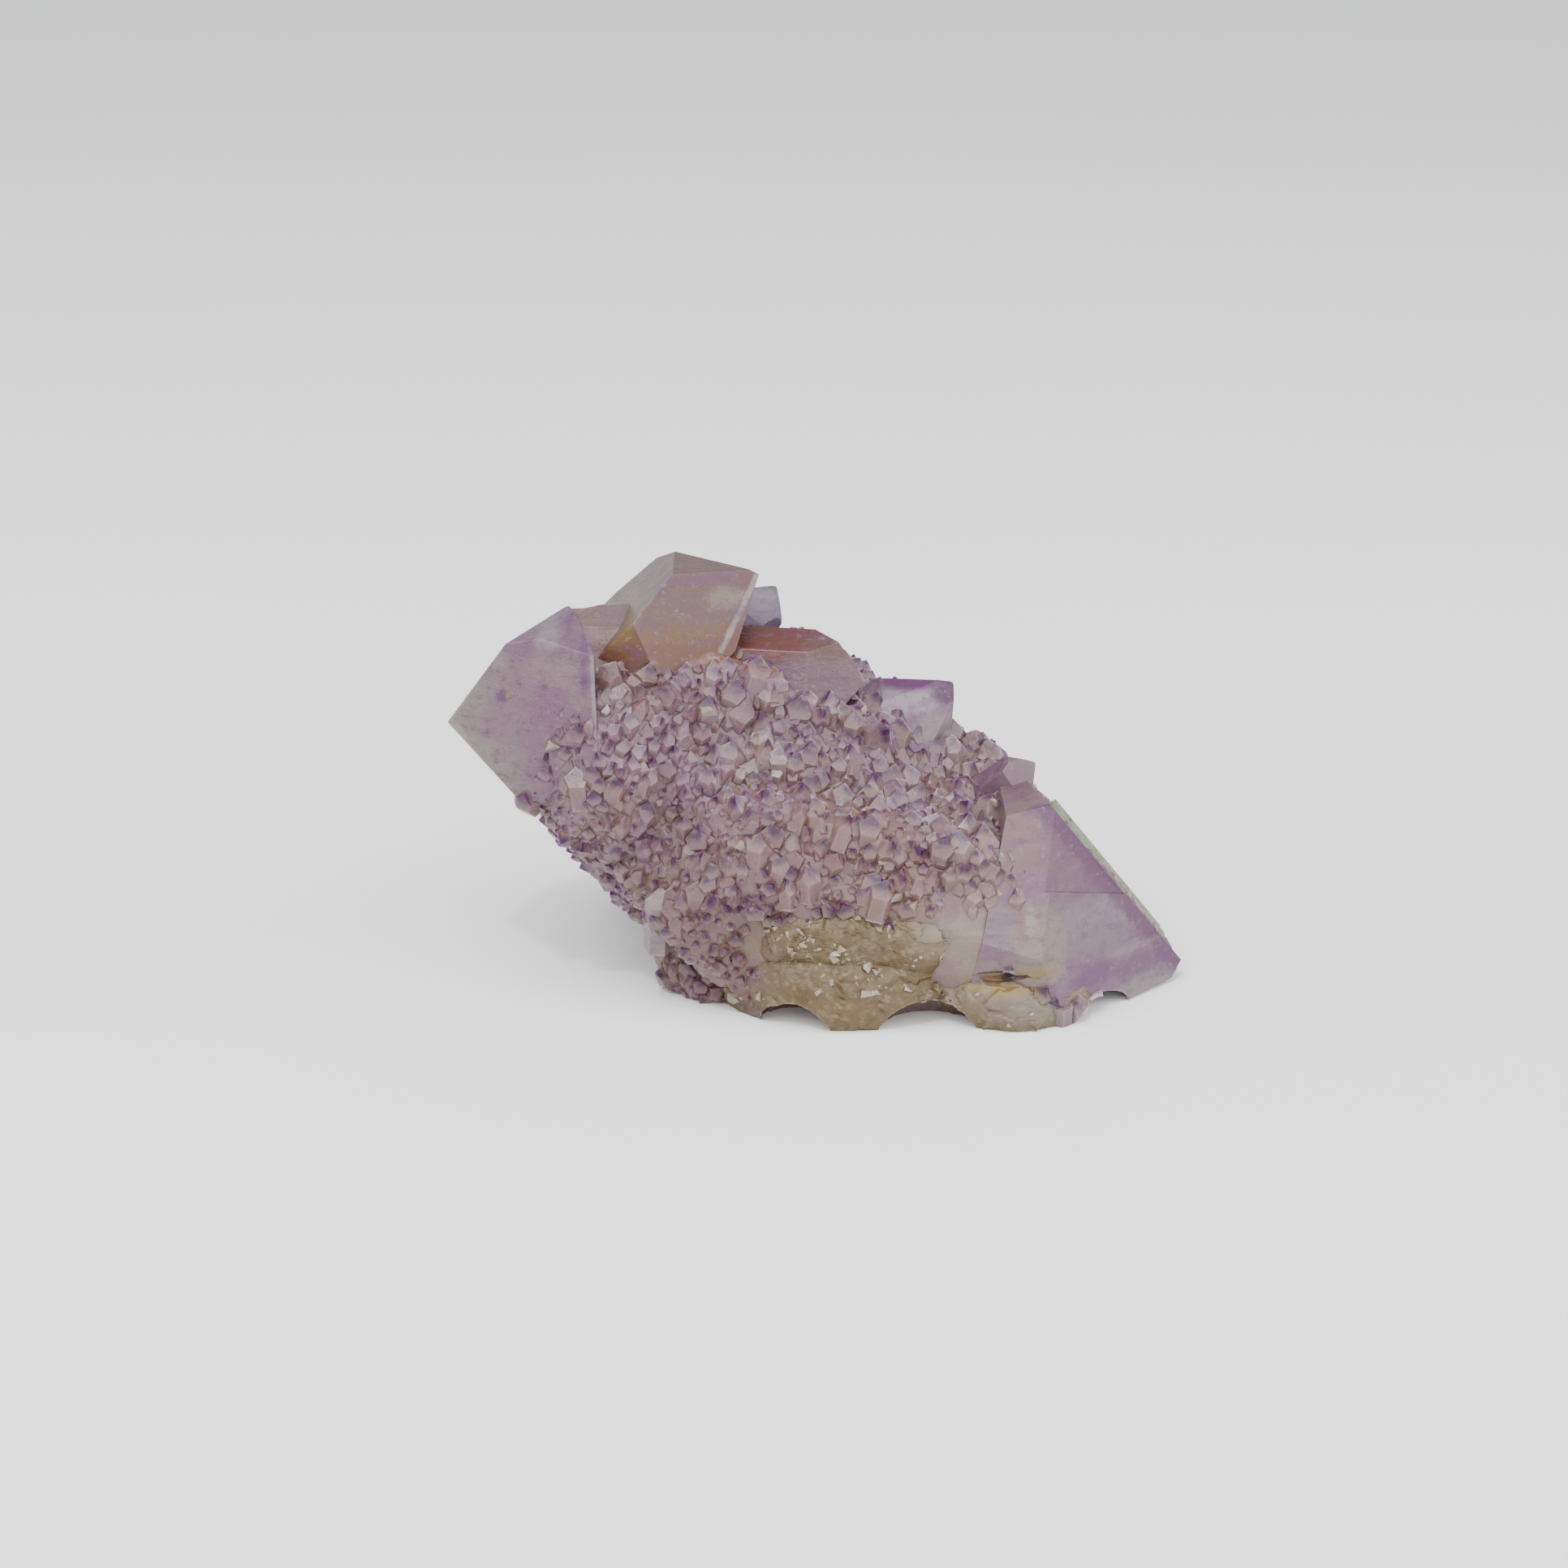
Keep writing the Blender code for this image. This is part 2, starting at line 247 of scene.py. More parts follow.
board = Finish("pale_board", roughness=0.8)
board.show("Base Color", board.paint((0.86, 0.86, 0.85, 1.0), (0.83, 0.83, 0.82, 1.0), board.cloud(90.0)))
floor_shape = bmesh.new()
bmesh.ops.create_grid(floor_shape, x_segments=1, y_segments=1, size=FLOOR_HALF)
floor_mesh = bpy.data.meshes.new("floor")
floor_shape.to_mesh(floor_mesh)
floor_shape.free()
floor_mesh.materials.append(board.material)
floor = linked(bpy.data.objects.new("floor", floor_mesh))
floor.location.z = -FLOOR_DROP

# The left point: the smooth pale end of the upper candle, which looks left.
# It is one quartz crystal, clear at the very tip and milky lavender behind, with three broad faces and
# three narrow ones, as it grew. The crust starts behind it, and the rest of the candle lies under that.
SIDES = 6
FACE_TILT = math.radians(38.2)  # a quartz point's faces lean in this far from its long axis
FRONT = (0.0, -0.94, 0.34)  # the side that the broad smooth faces look to
SIX_FACED = ((0, 0.0), (60, 0.8), (120, 0.3), (180, 1.0), (240, 0.2), (300, 0.6))
THREE_BROAD = tuple((60 * k, 3.0 * (k % 2)) for k in range(SIDES))
LEFT_POINT = tuple((60 * k, 4.0 * (k % 2)) for k in range(SIDES))
UPPER_SLOPE = (0.45, 0.0, 0.89)  # which way the upper right side looks
LEFT = dict(
    tip=(-39.5, -7.0, 30.3), points=(-0.965, -0.259, 0.045), radius=12.4, looks=FRONT, faces=LEFT_POINT,
    trims=(((-25.5, 0.0, 41.1), (-0.26, 0.0, 0.966)), ((-5.6, 0.0, 35.5), UPPER_SLOPE)),
)
CANDLE_LENGTH = 58.0
SMOOTH_LENGTH = 14.0  # how far back the smooth piece reaches, where the crust and the top crystal start
TOP_BEVEL = ((-15.0, -7.3, 37.0), (0.0, -0.64, 0.77))  # behind that, the upper front edge is worn low
PROUD = 0.12  # a smooth end stands this far out of what the crust grows on
MERGE = 0.002
GROUND = (0.0, 0.0, 0.0)
DOWN = (0.0, 0.0, -1.0)
SKY_GLEAM_FINISH = 1  # the second finish of a smooth crystal, on the faces that are seen edge-on: a pale colour painted there for the sky that they reflect


def cut_away(bm, point, normal, finish=0):
    """Cuts a convex solid with a plane, keeps what lies behind it and closes the cut."""
    everything = bm.verts[:] + bm.edges[:] + bm.faces[:]
    made = bmesh.ops.bisect_plane(
        bm, geom=everything, dist=1e-6, plane_co=point, plane_no=normal, clear_outer=True
    )
    rim = [item for item in made["geom_cut"] if isinstance(item, bmesh.types.BMEdge)]
    if len(rim) < 3:
        return
    closed = bmesh.ops.contextual_create(bm, geom=rim)
    for face in closed["faces"]:
        face.material_index = finish
    bmesh.ops.remove_doubles(bm, verts=bm.verts, dist=MERGE)


def placement(tip, points, looks):
    """The matrix that carries a crystal from its own frame, tip at the origin and pointing up, to its place."""
    up = Vector(points).normalized()
    side = Vector(looks)
    side = (side - side.dot(up) * up).normalized()
    turn = Matrix((side, up.cross(side), up)).transposed().to_4x4()
    return Matrix.Translation(Vector(tip)) @ turn


def face_normal(round_degrees, tilt):
    """Which way a point's face looks, in the crystal's own frame."""
    turn = math.radians(round_degrees)
    return Vector((math.cos(tilt) * math.cos(turn), math.cos(tilt) * math.sin(turn), math.sin(tilt)))


def quartz(tip, points, radius, looks, faces, length, trims=(), ends=1, swell=0.0, sky_reflecting_faces=()):
    """A six-sided prism with a point at one end or at both. swell moves every face out. The faces at the angles
    given last get the second finish, with its painted sky reflection.
    """
    bm = bmesh.new()
    outer = radius + swell
    bmesh.ops.create_cone(
        bm, cap_ends=True, segments=SIDES, radius1=outer, radius2=outer, depth=length + 2 * swell,
        matrix=Matrix.Translation((0.0, 0.0, swell - length / 2)),
    )
    for round_degrees, back in faces:
        normal = face_normal(round_degrees, FACE_TILT)
        cut_away(bm, normal * (swell + back), normal, SKY_GLEAM_FINISH if round_degrees in sky_reflecting_faces else 0)
    if ends == 2:
        for round_degrees, back in SIX_FACED:
            normal = face_normal(round_degrees, -FACE_TILT)
            cut_away(bm, Vector((0.0, 0.0, -length)) + normal * (back + swell), normal)
    bm.transform(placement(tip, points, looks))
    for point, normal in trims:
        cut_away(bm, Vector(point) + Vector(normal).normalized() * swell, Vector(normal))
    cut_away(bm, Vector(GROUND), Vector(DOWN))
    return bm


def mesh_of(bm, name, *finishes, scale=MM):
    """The finished shape as a mesh in metres, its faces pointing out."""
    bmesh.ops.recalc_face_normals(bm, faces=bm.faces)
    mesh = bpy.data.meshes.new(name)
    bm.transform(Matrix.Scale(scale, 4))
    bm.to_mesh(mesh)
    bm.free()
    for finish in finishes:
        mesh.materials.append(finish.material)
    return mesh


def rounded(mesh, name, width):
    """The piece, its edges worn to a narrow round."""
    rough = linked(bpy.data.objects.new(name, mesh))
    worn = rough.modifiers.new("worn_edges", "BEVEL")
    worn.width = width * MM
    worn.segments = 2
    worn.limit_method = "ANGLE"
    graph = bpy.context.evaluated_depsgraph_get()
    plain = bpy.data.meshes.new_from_object(rough.evaluated_get(graph))
    bpy.data.objects.remove(rough)
    plain.name = name
    return linked(bpy.data.objects.new(name, plain))


MILKY = (156, 142, 144)
LAVENDER = (144, 120, 138)
PURPLE = (112, 80, 118)
# the pale greenish-white of the narrow faces: a painted reflection of the sky
PAINTED_SKY_PALE = (176, 176, 162)
SHEEN = 0.80  # a smooth face throws back more of the sky than rough stone, so its own colour is deeper


def amethyst(name, marks=(), milk=MILKY, body=LAVENDER, lean=0.6, clear=0.0):
    """Milky amethyst of a smooth crystal: soft veils of white and lavender with streaks of deeper purple."""
    finish = Finish(name, ior=1.54, transmission_weight=clear)
    finish.milky(1.4)
    veil = finish.ramp(finish.cloud(5.0, 6.0, 0.68, (0.7, 1.0, 1.2), 0.0, lean), 0.40, 0.62)
    streak = finish.ramp(finish.cloud(2.4, 6.0, 0.75, (0.35, 1.0, 1.8), 7.0, lean), 0.50, 0.68)
    fleck = finish.ramp(finish.cloud(0.8, 5.0, 0.75, shift=3.0), 0.56, 0.68)
    tone = finish.paint(colour(*milk), colour(*body), veil)
    tone = finish.zones(tone, marks)
    tone = finish.paint(tone, colour(*PURPLE), streak * 0.5)
    tone = finish.paint(tone, colour(180, 170, 170), fleck * 0.55)
    speck = finish.ramp(finish.cloud(1.1, 5.0, 0.75, shift=9.0), 0.52, 0.66)
    tone = finish.paint(tone, colour(108, 80, 102), speck * 0.5)
    tone = finish.add("ShaderNodeVectorMath", {"operation": "SCALE"}, {0: tone, "Scale": SHEEN})
    finish.show("Base Color", tone)
    finish.show("Roughness", 0.18 + 0.24 * finish.cloud(2.0, 5.0, 0.7, shift=5.0))
    finish.bump(finish.cloud(1.6, 6.0, 0.66, (0.6, 1.0, 1.3)), 0.12)
    return finish


def painted_sky_reflection(name, tone=PAINTED_SKY_PALE):
    """The pale greenish-white painted on a narrow face for the sky that it catches and reflects, with faint darker
    lines.
    """
    finish = Finish(name, ior=1.54, roughness=0.3)
    finish.milky(1.0)
    lines = finish.ramp(finish.cloud(1.4, 5.0, 0.7, (0.3, 1.0, 1.0), 2.0, 0.9), 0.42, 0.66)
    finish.show("Base Color", finish.paint(colour(*tone), colour(138, 138, 126), lines))
    finish.bump(finish.cloud(0.8, 4.0, 0.6), 0.15)
    return finish


left_finish = amethyst(
    "left_point_amethyst",
    (
        ((160, 156, 150), 0.9, (-38.0, -10.0, 30.5), (7.0, 14.0, 8.0)),
        ((146, 120, 136), 0.6, (-31.0, -12.0, 32.0), (6.0, 10.0, 4.0)),
        ((142, 120, 138), 0.6, (-27.0, -6.0, 42.5), (9.0, 14.0, 3.0)),
        ((118, 84, 122), 0.6, (-26.0, -6.0, 43.2), (8.0, 14.0, 1.2)),
        ((116, 84, 122), 0.6, (-24.4, -12.0, 38.3), (0.7, 10.0, 3.2)),
        ((162, 146, 150), 0.7, (-23.2, -12.0, 37.6), (0.9, 10.0, 4.0)),
        ((182, 172, 176), 0.7, (-28.6, -10.0, 40.4), (1.4, 8.0, 1.3)),
        ((100, 70, 112), 0.8, (-26.3, -9.0, 41.4), (0.6, 8.0, 1.0)),
        ((104, 76, 116), 0.7, (-33.6, -9.0, 33.8), (0.7, 8.0, 0.7)),
        ((178, 174, 158), 0.9, (-39.5, -7.0, 30.3), (-31.8, -13.4, 21.2), 1.1),
        ((172, 168, 128), 0.6, (-33.2, -12.5, 22.4), (1.6, 6.0, 2.4)),
        ((172, 170, 162), 0.8, (-39.5, -7.0, 30.3), (-33.6, -7.6, 41.0), 0.7),
    ),
)
# the narrow faces of the left point get a pale colour painted for the sky they reflect
left_sky_reflection = painted_sky_reflection("left_point_rind")
left_point = rounded(
    mesh_of(
        quartz(length=SMOOTH_LENGTH, swell=PROUD, sky_reflecting_faces=(60, 120, 240, 300), **LEFT), "left_point",
        left_finish, left_sky_reflection,
    ),
    "left_point", 0.08,
)
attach(left_point, "root")
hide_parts("spirit_quartz_cluster")
stalks = [quartz(length=CANDLE_LENGTH, ends=2, **dict(LEFT, trims=(*LEFT["trims"], TOP_BEVEL)))]
smooth_ends = [quartz(length=SMOOTH_LENGTH, swell=PROUD, **LEFT)]

# The right point: the big smooth end of the main candle, which looks right and down.
# Its broad front face has a low growth step across it, and a narrow fluted face runs along the upper edge,
# made of laths of quartz that end one after another. A paler face underneath ends it.
RIGHT_POINT = ((-3, 0.0), (-84, 0.6), (75, 1.3), (-150, 0.0), (145, 0.0))
RIGHT = dict(
    tip=(40.5, -6.0, 2.2), points=(0.979, 0.02, -0.204), radius=16.5, looks=FRONT, faces=RIGHT_POINT,
    trims=(((22.0, -21.0, 10.8), (-0.07, -0.98, -0.19)), ((-20.4, 0.0, 13.4), (-0.67, 0.0, -0.74))),
)
MAIN_LENGTH = 69.0
RIGHT_SMOOTH = 24.0
SMOOTH_RADIUS = 26.0  # the broad face runs on past the prism's upper side, which the other sides keep
KEPT_SIDES = (0, 60, 120, 180, 240)
TOP_CUT = ((24.0, -8.0, 23.4), (-0.2, 0.0, 0.98))  # the crust starts above this
STRIP_BACK = -0.1  # the narrow face lies this far behind the tip's own corner
STEP_RISE = 0.3
STEP_CUT = ((32.0, -12.0, 12.3), (0.05, 0.34, 0.94))
LATH_BACK = 0.4  # each lath starts this much further behind the front edge than the one before it
LATH_RISE = 0.18  # and stands this much higher
LATH_ENDS = ((2.0, 15.0), (1.2, 24.0), (4.0, 27.0), (1.8, 23.0), (3.0, 26.0))  # along the edge, from the tip
SWELL = (7.0, 0.9)  # how wide the slow swells of a broken face are, and how high
FRACTURES = ((3.4, 0.8), (1.3, 0.3))  # how wide its chipped facets are, and how steeply they slant
GRAIN = (1.6, 0.2)
HOLLOWS = {
    "left_hollow": ((-2.2, -19.5, -1.5), (4.2, 5.2, 4.5)),
    "right_hollow": ((12.5, -21.0, -1.5), (6.0, 5.8, 4.5)),
    "under_the_point": ((31.0, -14.0, -1.5), (4.0, 8.5, 3.8)),
    "crevice": ((20.6, -21.4, 5.9), (5.0, 2.4, 0.8)),
}


def lump(middle, halves, fineness=4, square=2.0):
    """A rounded lump, its middle and half sizes in millimetres, nearer a box the higher its squareness."""
    bm = bmesh.new()
    bmesh.ops.create_icosphere(bm, subdivisions=fineness, radius=1.0)
    for corner in bm.verts:
        corner.co /= sum(abs(c) ** square for c in corner.co) ** (1 / square)
    bm.transform(Matrix.Translation(middle) @ Matrix.Diagonal((*halves, 1.0)))
    return bm


def chipped(middle, halves, fineness=4, square=2.0):
    """A lump whose face is broken into small slanting facets with ledges between them."""
    bm = lump(middle, halves, fineness, square)
    for corner in bm.verts:
        place = corner.co.copy()
        out = Vector([(c - m) / h ** 2 for c, m, h in zip(place, middle, halves)]).normalized()
        height = SWELL[1] * noise.noise(place / SWELL[0]) + GRAIN[1] * noise.noise(place / GRAIN[0])
        for width, slant in FRACTURES:
            facet = noise.voronoi(place / width)[1][0]
            height += slant * (place / width - facet).dot(noise.noise_vector(facet * 3.1))
        corner.co += out * height
    return bm


def joined(meshes, name, operation="UNION"):
    """The solids joined in one, or the first less the others, by the solver for closed shapes."""
    shapes = [linked(bpy.data.objects.new(name, mesh)) for mesh in meshes]
    others = bpy.data.collections.new(name)
    for shape in shapes[1:]:
        others.objects.link(shape)
    step = shapes[0].modifiers.new("join", "BOOLEAN")
    step.operation = operation
    step.solver = "MANIFOLD"
    step.operand_type = "COLLECTION"
    step.collection = others
    graph = bpy.context.evaluated_depsgraph_get()
    mesh = bpy.data.meshes.new_from_object(shapes[0].evaluated_get(graph))
    for shape in shapes:
        bpy.data.objects.remove(shape)
    bpy.data.collections.remove(others)
    mesh.name = name
    return mesh


right_finish = amethyst(
    "right_point_amethyst",
    (
        ((148, 128, 128), 0.8, (21.5, -15.0, 21.5), (4.5, 12.0, 6.0)),
        ((130, 102, 120), 0.6, (28.0, -12.0, 18.0), (5.0, 12.0, 6.0)),
        ((162, 150, 156), 0.7, (29.0, -14.0, 10.6), (9.0, 12.0, 2.2)),
        ((146, 128, 142), 0.6, (29.0, -14.0, 6.0), (7.0, 12.0, 4.0)),
        ((110, 76, 106), 0.85, (39.8, -6.7, 2.2), (28.0, -13.6, 18.6), 1.9),
        ((80, 48, 84), 0.7, (40.0, -6.3, 2.6), (28.4, -13.2, 19.0), 0.7),
        ((112, 84, 118), 0.7, (30.2, -14.0, 4.4), (2.8, 8.0, 1.4)),
        ((116, 88, 120), 0.7, (36.6, -10.0, 3.6), (4.0, 8.0, 1.2)),
        ((170, 160, 158), 0.6, (34.8, -10.0, 5.6), (3.0, 8.0, 0.4)),
        ((170, 162, 162), 0.8, (34.5, -11.0, 0.9), (6.0, 8.0, 1.1)),
        ((168, 158, 148), 0.85, (24.0, -16.0, 8.0), (3.0, 9.0, 4.5)),
        ((184, 178, 168), 0.9, (23.0, -17.0, 12.2), (0.8, 5.0, 1.8)),
        ((150, 118, 80), 0.5, (22.1, -17.0, 11.6), (0.6, 5.0, 2.2)),
        ((160, 138, 94), 0.7, (23.4, -17.0, 6.6), (2.4, 5.0, 0.9)),
    ),
    lean=-0.5,
)
# the fluted face and the cut ends of its laths get a pale colour painted for the sky they reflect
right_sky_reflection = painted_sky_reflection("right_point_rind")
turn_right = placement(RIGHT["tip"], RIGHT["points"], FRONT).to_3x3()
face_out = turn_right @ face_normal(RIGHT_POINT[0][0], FACE_TILT)
strip_out = turn_right @ face_normal(RIGHT_POINT[1][0], FACE_TILT)
ridge = face_out.cross(strip_out).normalized()
if ridge.x > 0:
    ridge = -ridge
tip_place = Vector(RIGHT["tip"])
trims = [*RIGHT["trims"], TOP_CUT]
for round_degrees in KEPT_SIDES:
    side_out = turn_right @ face_normal(round_degrees, 0.0)
    trims.append((tip_place + side_out * RIGHT["radius"] * math.cos(math.pi / SIDES), side_out))
low_strip = (RIGHT_POINT[0], (-84, STRIP_BACK), *RIGHT_POINT[2:])
smooth_right = dict(RIGHT, radius=SMOOTH_RADIUS, faces=low_strip, trims=tuple(trims))
shifted = dict(smooth_right, tip=tip_place + face_out * STEP_RISE)
raised = quartz(length=RIGHT_SMOOTH, swell=PROUD, **shifted)
cut_away(raised, Vector(STEP_CUT[0]), Vector(STEP_CUT[1]))
right_shapes = [quartz(length=RIGHT_SMOOTH, swell=PROUD, sky_reflecting_faces=(-84,), **smooth_right), raised]
for k, (start, end) in enumerate(LATH_ENDS):
    strip_face = (-84, STRIP_BACK + LATH_RISE * (k + 1))
    lath_faces = (RIGHT_POINT[0], strip_face, *RIGHT_POINT[2:])
    lath = quartz(length=RIGHT_SMOOTH, swell=PROUD, sky_reflecting_faces=(-84,), **dict(smooth_right, faces=lath_faces))
    cut_away(lath, tip_place + ridge * start, -ridge, SKY_GLEAM_FINISH)
    cut_away(lath, tip_place + ridge * end, ridge, SKY_GLEAM_FINISH)
    cut_away(lath, tip_place - face_out * (0.25 + LATH_BACK * k), face_out, SKY_GLEAM_FINISH)
    cut_away(lath, tip_place - face_out * (0.25 + LATH_BACK * (k + 1.2)), -face_out, SKY_GLEAM_FINISH)
    cut_away(lath, tip_place - strip_out * 2.0, -strip_out, SKY_GLEAM_FINISH)
    right_shapes.append(lath)
right_mesh = joined(
    [mesh_of(shape, "right_point", right_finish, right_sky_reflection) for shape in right_shapes], "right_point"
)
right_point = rounded(right_mesh, "right_point", 0.12)
hollow_meshes = [mesh_of(chipped(*facts), hollow) for hollow, facts in HOLLOWS.items()]
right_point.data = joined([right_point.data, *hollow_meshes], "right_point", "DIFFERENCE")
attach(right_point, "root")
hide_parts("spirit_quartz_cluster")
stalks.append(quartz(length=MAIN_LENGTH, ends=2, **RIGHT))
smooth_ends.append(quartz(length=RIGHT_SMOOTH, swell=PROUD, **smooth_right))

# The smooth crystals on top.
# A blunt milky crystal, stained with iron at its foot, stands at the very top, half of another is buried
# beside it, and a purple one stands further right. Each grew over the candles as a crystal of its own.
TOPS = {
    "top_crystal": (
        dict(
            tip=(-6.1, 0.0, 44.8), points=(0.86, -0.15, 0.47), radius=11.0, looks=FRONT, faces=THREE_BROAD,
            trims=(
                ((-13.6, 0.0, 45.7), (0.05, 0.0, 1.0)),
                ((-18.4, 0.0, 42.4), (-0.72, 0.0, 0.69)),
                ((-8.3, 0.0, 46.4), (0.44, 0.0, 0.90)),
                ((-12.0, -9.0, 37.2), (0.25, -0.2, -0.95)),
            ),
        ),
        24.0,
        amethyst(
            "top_crystal_amethyst",
            (
                ((158, 142, 104), 0.9, (-22.0, -4.0, 41.6), (2.8, 12.0, 3.4)),
                ((122, 94, 58), 0.7, (-15.5, -8.0, 39.4), (8.0, 10.0, 1.6)),
                ((108, 72, 26), 0.95, (-15.0, -8.0, 37.8), (9.5, 10.0, 1.5)),
                ((108, 68, 20), 0.85, (-7.8, -6.0, 39.0), (2.2, 10.0, 1.7)),
                ((118, 84, 72), 0.7, (-6.8, -2.0, 44.6), (1.8, 8.0, 1.0)),
                ((118, 84, 110), 0.6, (-12.0, -2.0, 45.0), (6.0, 3.0, 0.5)),
                ((164, 154, 140), 0.6, (-9.6, -6.0, 43.0), (2.0, 8.0, 1.2)),
                ((106, 76, 98), 0.6, (-16.5, -6.0, 44.2), (0.8, 6.0, 0.4)),
                ((178, 170, 168), 0.9, (-6.1, 0.0, 44.8), (-9.6, -4.6, 38.6), 0.5),
            ),
            milk=(118, 98, 88), body=(112, 88, 92),
        ),
    ),
    "half_buried_crystal": (
        dict(tip=(5.6, -2.4, 33.4), points=(0.95, -0.16, 0.0), radius=5.3, looks=FRONT, faces=THREE_BROAD),
        16.0,
        amethyst(
            "half_buried_amethyst",
            (
                ((108, 62, 12), 1.0, (-5.0, -1.0, 38.8), (5.6, 12.0, 2.4)),
                ((104, 78, 62), 0.7, (2.4, 0.0, 37.2), (3.5, 8.0, 1.3)),
                ((176, 168, 172), 0.8, (5.6, -2.4, 33.4), (2.4, -2.0, 36.6), 0.45),
            ),
            (130, 110, 116), (120, 96, 106), 0.3,
        ),
    ),
    "purple_tip": (
        dict(tip=(15.1, 2.0, 31.6), points=(0.68, -0.10, 0.68), radius=6.0, looks=FRONT, faces=SIX_FACED),
        14.0,
        amethyst(
            "purple_tip_amethyst",
            (
                ((188, 178, 186), 0.95, (10.2, -1.0, 30.2), (4.6, 6.0, 1.2)),
                ((112, 72, 110), 0.85, (10.5, 1.0, 31.9), (6.0, 4.0, 0.5)),
                ((90, 48, 90), 0.95, (14.8, 1.0, 30.9), (1.7, 5.0, 1.2)),
                ((168, 158, 158), 0.8, (14.0, -1.0, 27.6), (3.0, 5.0, 1.4)),
            ),
            (146, 128, 142), (134, 108, 132), 0.0,
        ),
    ),
}
for top_name, (shape, long, top_finish) in TOPS.items():
    top = rounded(mesh_of(quartz(length=long, swell=PROUD, **shape), top_name, top_finish), top_name, 0.1)
    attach(top, "root")
    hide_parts("spirit_quartz_cluster")
    smooth_ends.append(quartz(length=long, swell=PROUD, **shape))

# The small clear tips and the points at the back.
# A glassy bit peeps out behind the top crystal and a short white prism stands low on the left. Two smooth
# points end the candles at the back.
SMALL = {
    "glassy_tip": (
        dict(tip=(-4.4, 8.0, 40.8), points=(0.55, -0.10, 0.80), radius=3.0, looks=FRONT, faces=SIX_FACED),
        9.0, (206, 198, 210), (190, 176, 194), 0.7,
    ),
    "white_prism": (
        dict(tip=(-16.5, -17.0, 14.6), points=(0.05, -0.30, 0.95), radius=1.5, looks=FRONT, faces=SIX_FACED),
        8.0, (178, 168, 164), (160, 146, 150), 0.0,
    ),
    "shoulder_crystal": (
        dict(tip=(23.8, -5.5, 24.9), points=(0.75, -0.20, 0.63), radius=2.3, looks=FRONT, faces=SIX_FACED),
        7.0, (142, 126, 130), (134, 112, 126), 0.0,
    ),
    "back_candle_point": (
        dict(
            tip=(-27.0, 20.0, 13.0), points=(-0.80, 0.58, -0.10), radius=9.5, looks=(0.0, 0.8, 0.6),
            faces=THREE_BROAD,
        ),
        17.0, MILKY, LAVENDER, 0.0,
    ),
    "back_point": (
        dict(
            tip=(24.0, 21.0, 12.0), points=(0.55, 0.80, 0.10), radius=7.5, looks=(0.0, 0.5, 0.86),
            faces=THREE_BROAD,
        ),
        16.0, MILKY, LAVENDER, 0.0,
    ),
}
for small_name, (shape, long, milk, body, clear) in SMALL.items():
    small_finish = amethyst(f"{small_name}_amethyst", (), milk, body, clear=clear)
    small_mesh = mesh_of(quartz(length=long, swell=PROUD, **shape), small_name, small_finish)
    small = rounded(small_mesh, small_name, 0.15)
    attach(small, "root")
    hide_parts("spirit_quartz_cluster")
    smooth_ends.append(quartz(length=long, swell=PROUD, **shape))

# The broken foot: massive quartz where the cluster broke from the rock.
# It is one rough lump of yellow-grey quartz with curved ledges, cut flat underneath, with a stained
# crevice at its right end.
BREAKS = (
    # middle, half sizes, fineness, squareness: the foot, the break above it and the pale quartz on its right
    ((4.0, -9.8, 3.4), (15.6, 11.8, 9.8), 6, 2.0),
    ((6.4, -10.2, 9.6), (17.0, 10.6, 6.0), 7, 2.5),
    ((20.5, -10.4, 1.8), (11.5, 11.3, 7.0), 6, 2.0),
)


def below_ground():
    """All that lies under the flat break."""
    bm = bmesh.new()
    bmesh.ops.create_cube(bm, size=200.0, matrix=Matrix.Translation((0.0, 0.0, -100.0)))
    return bm


FOOT_MARKS = (
    ((170, 160, 146), 0.85, (16.5, -19.0, 11.2), (6.0, 9.0, 3.0)),
    ((160, 150, 142), 0.8, (22.5, -17.0, 3.2), (7.5, 9.0, 2.8)),
    ((132, 112, 104), 0.6, (-7.0, -17.0, 7.0), (4.0, 8.0, 5.0)),
    ((124, 104, 80), 0.8, (2.0, -20.0, 1.6), (6.0, 6.0, 2.0)),
    # painted shade: the dark band low on the front, where the stone turns under
    ((98, 74, 66), 0.9, (-5.0, -18.0, 1.0), (4.2, 6.0, 1.4)),
    ((164, 130, 84), 0.75, (20.6, -19.0, 6.6), (5.0, 6.0, 1.2)),
    ((112, 90, 62), 0.95, (21.0, -18.0, 5.7), (4.8, 5.0, 0.8)),
    ((172, 152, 104), 0.6, (20.6, -19.0, 4.6), (4.6, 6.0, 0.5)),
    ((106, 78, 104), 0.7, (-6.2, -19.0, 5.4), (0.9, 6.0, 0.8)),
)
foot_finish = Finish("broken_quartz", ior=1.54)
foot_finish.milky(1.8, (1.0, 0.9, 0.7))
foot_cloud = foot_finish.ramp(foot_finish.cloud(3.5, 5.0, 0.7), 0.38, 0.62)
foot_grain = foot_finish.ramp(foot_finish.cloud(1.1, 5.0, 0.75, shift=4.0), 0.50, 0.64)
foot_tone = foot_finish.paint(colour(108, 90, 64), colour(128, 112, 90), foot_cloud)
foot_tone = foot_finish.zones(foot_tone, FOOT_MARKS)
foot_tone = foot_finish.paint(foot_tone, colour(168, 158, 138), foot_grain * 0.6)
foot_tone = foot_finish.add("ShaderNodeVectorMath", {"operation": "SCALE"}, {0: foot_tone, "Scale": SHEEN})
foot_finish.show("Base Color", foot_tone)
foot_finish.show("Roughness", 0.25 + 0.35 * foot_finish.cloud(1.2, 5.0, 0.7, shift=9.0))
foot_finish.bump(foot_finish.cloud(0.7, 5.0, 0.65), 0.1)
foot_lumps = [mesh_of(chipped(*facts), "broken_foot", foot_finish) for facts in BREAKS]
